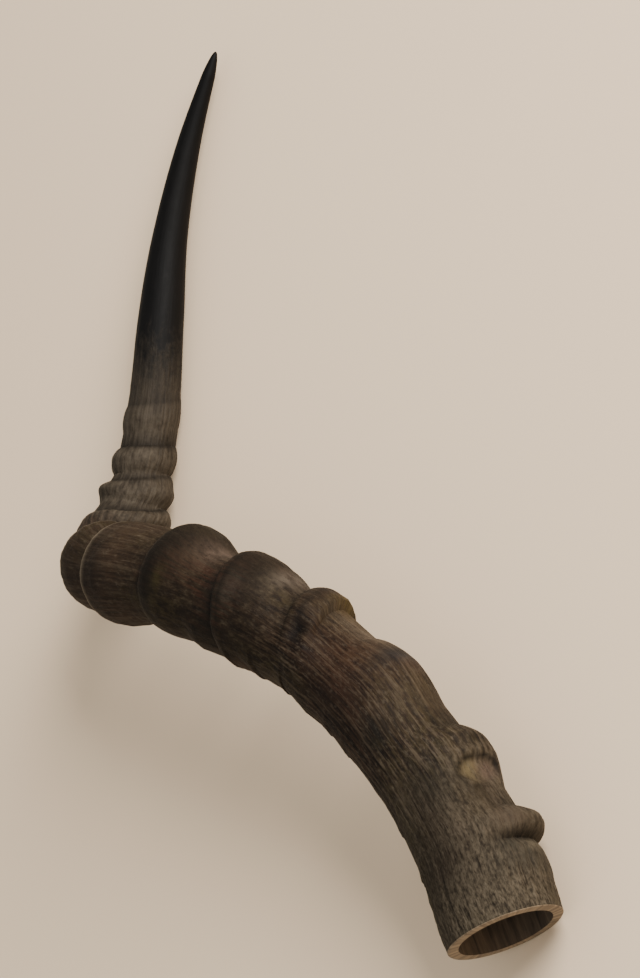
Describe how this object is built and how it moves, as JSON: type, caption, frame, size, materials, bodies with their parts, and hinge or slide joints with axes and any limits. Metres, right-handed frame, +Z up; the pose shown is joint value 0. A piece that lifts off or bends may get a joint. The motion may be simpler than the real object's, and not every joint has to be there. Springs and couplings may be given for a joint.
{
  "type": "impala horn",
  "caption": "Right horn of an impala ram: a hollow, knobbly ringed sheath, sawn flat at its base, that sweeps out and back, turns up sharply and tapers to a smooth dark tip.",
  "frame": {"origin": "on the floor, under the middle of the horn's box as it lies", "axes": "+X from the sawn base towards the tip, +Z up"},
  "size_m": [0.4164, 0.145, 0.0721],
  "materials": {
    "horn_keratin": "natural horn: grey and bark-like at the base, dark brown and finely grooved along its rings, satin and nearly black at the tip"
  },
  "bodies": {
    "root": {"horn": "horn_keratin"}
  },
  "joints": []
}
